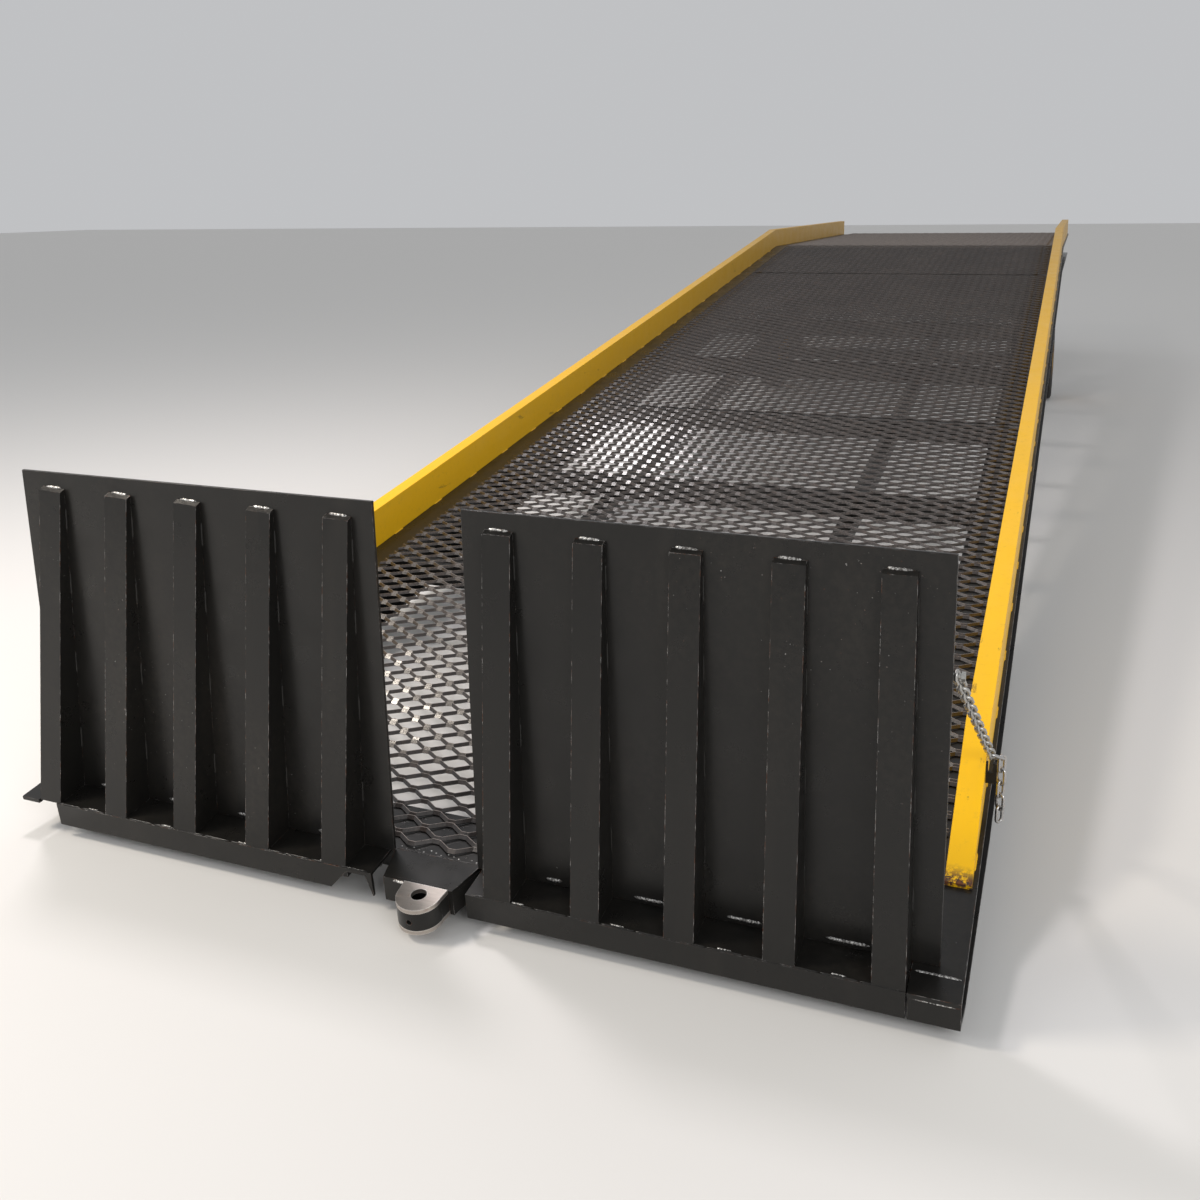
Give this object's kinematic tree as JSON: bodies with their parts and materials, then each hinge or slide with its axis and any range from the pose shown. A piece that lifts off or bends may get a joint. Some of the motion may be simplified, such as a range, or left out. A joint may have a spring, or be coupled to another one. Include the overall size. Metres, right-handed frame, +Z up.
{
  "type": "folding loading ramp",
  "caption": "Mobile loading ramp with a mesh deck between raised kerbs, folding ground flaps at the low end, a level upper section, wheeled height-adjusting legs and a hinged lip.",
  "frame": {"origin": "on the ground, straight below the root line of the ground flaps, in the middle of the ramp's width", "axes": "+X from the low end towards the high end, +Y to the left seen from the low end, +Z up"},
  "size_m": [10.6598, 2.2852, 1.2449],
  "materials": {
    "dark_paint": "gloss, dark grey, worn at the edges",
    "yellow_paint": "semi-gloss, traffic yellow",
    "mesh_paint": "satin, dark grey, worn bright on the top of the strands",
    "zinc": "galvanised",
    "bright_steel": "machined",
    "bare_steel": "worn bare at the edges",
    "chrome_rod": "hard chrome",
    "tyre": "matt",
    "pump_paint": "gloss red"
  },
  "bodies": {
    "frame": {"side_beam_left": "dark_paint", "side_beam_right": "dark_paint", "kerb_left": "yellow_paint", "kerb_right": "yellow_paint", "deck_mesh_low": "mesh_paint", "deck_mesh_middle": "mesh_paint", "deck_mesh_upper": "mesh_paint", "deck_mesh_level": "mesh_paint", "threshold_plate": "dark_paint", "front_cross_beam": "dark_paint", "cross_members": "dark_paint", "level_cross_members": "dark_paint", "inner_stringers": "dark_paint", "end_beam": "dark_paint", "bend_gussets": "dark_paint", "nose_frame": "dark_paint", "nose_corner_plate": "dark_paint", "tow_eye_plates": "bare_steel", "tow_eye_band": "dark_paint", "hinge_lugs": "dark_paint", "flap_hinge_pins": "bright_steel", "chain_catches": "dark_paint", "leg_cross_beam": "dark_paint", "leg_sleeve_left": "dark_paint", "leg_sleeve_right": "dark_paint", "leg_braces": "dark_paint", "cylinder_barrel_left": "dark_paint", "cylinder_barrel_right": "dark_paint", "pump_tank": "pump_paint", "pump_block": "pump_paint", "hydraulic_pipes": "zinc", "lip_hinge_lugs": "dark_paint", "lip_hinge_pins": "bright_steel"},
    "flap_left": {"flap_plate_left": "dark_paint", "flap_ribs_left": "dark_paint", "flap_root_left": "dark_paint", "flap_hinge_arms_left": "dark_paint", "chain_bolt_left": "zinc"},
    "flap_right": {"flap_plate_right": "dark_paint", "flap_ribs_right": "dark_paint", "flap_root_right": "dark_paint", "flap_hinge_arms_right": "dark_paint", "chain_bolt_right": "zinc"},
    "chain_run_left": {"chain_run_left": "zinc"},
    "chain_run_right": {"chain_run_right": "zinc"},
    "chain_tail_left": {"chain_tail_left": "zinc"},
    "chain_tail_right": {"chain_tail_right": "zinc"},
    "wheel_carriage": {"leg_posts": "dark_paint", "axle_beam": "dark_paint", "piston_rods": "chrome_rod"},
    "wheel_left": {"tyre_left": "tyre", "wheel_left": "yellow_paint", "wheel_bearings_left": "bright_steel"},
    "wheel_right": {"tyre_right": "tyre", "wheel_right": "yellow_paint", "wheel_bearings_right": "bright_steel"},
    "lip": {"lip_plate": "dark_paint"},
    "pump_lever": {"pump_lever": "dark_paint"},
    "release_knob": {"release_knob": "bright_steel"}
  },
  "joints": [
    {"name": "flap_hinge_left", "type": "hinge", "parent": "frame", "child": "flap_left", "pos_m": [-0.02705, 0.5, 0.07816], "axis": [0, -1, 0], "range_deg": [0, 95], "deforming": ["chain_run_left", "chain_tail_left"]},
    {"name": "flap_hinge_right", "type": "hinge", "parent": "frame", "child": "flap_right", "pos_m": [-0.02705, -0.5, 0.07816], "axis": [0, -1, 0], "range_deg": [0, 95], "deforming": ["chain_run_right", "chain_tail_right"]},
    {"name": "chain_swing_left", "type": "hinge", "parent": "flap_left", "child": "chain_run_left", "pos_m": [0.01217, 1.068, 0.66874], "axis": [0, -1, 0], "range_deg": [-53.94, 0]},
    {"name": "chain_swing_right", "type": "hinge", "parent": "flap_right", "child": "chain_run_right", "pos_m": [0.01217, -1.068, 0.66874], "axis": [0, -1, 0], "range_deg": [-53.94, 0]},
    {"name": "chain_end_swing_left", "type": "hinge", "parent": "chain_run_left", "child": "chain_tail_left", "pos_m": [0.52508, 1.11, 0.28601], "axis": [0, -1, 0], "range_deg": [0, 56.64]},
    {"name": "chain_end_swing_right", "type": "hinge", "parent": "chain_run_right", "child": "chain_tail_right", "pos_m": [0.52508, -1.11, 0.28601], "axis": [0, -1, 0], "range_deg": [0, 56.64]},
    {"name": "leg_slide", "type": "slide", "parent": "frame", "child": "wheel_carriage", "axis": [0, 0, -1], "range_m": [0, 0.42]},
    {"name": "wheel_spin_left", "type": "hinge", "parent": "wheel_carriage", "child": "wheel_left", "pos_m": [7.33, 1.01, 0.28], "axis": [0, 1, 0], "continuous": true},
    {"name": "wheel_spin_right", "type": "hinge", "parent": "wheel_carriage", "child": "wheel_right", "pos_m": [7.33, -1.01, 0.28], "axis": [0, 1, 0], "continuous": true},
    {"name": "lip_hinge", "type": "hinge", "parent": "frame", "child": "lip", "pos_m": [10.4741, 0, 1.09092], "axis": [0, -1, 0], "range_deg": [0, 95]},
    {"name": "pump_stroke", "type": "hinge", "parent": "frame", "child": "pump_lever", "pos_m": [6.6787, 1.137, 0.93436], "axis": [0, -1, 0], "range_deg": [0, 60]},
    {"name": "release_turn", "type": "hinge", "parent": "frame", "child": "release_knob", "pos_m": [6.67615, 1.1, 0.87851], "axis": [0, 1, 0], "range_deg": [0, 170]}
  ],
  "couplings": [
    {"joint": "chain_swing_left", "follows": "flap_hinge_left", "ratio": -0.5625},
    {"joint": "chain_end_swing_left", "follows": "flap_hinge_left", "ratio": 0.5909},
    {"joint": "chain_swing_right", "follows": "flap_hinge_right", "ratio": -0.5625},
    {"joint": "chain_end_swing_right", "follows": "flap_hinge_right", "ratio": 0.5909}
  ]
}
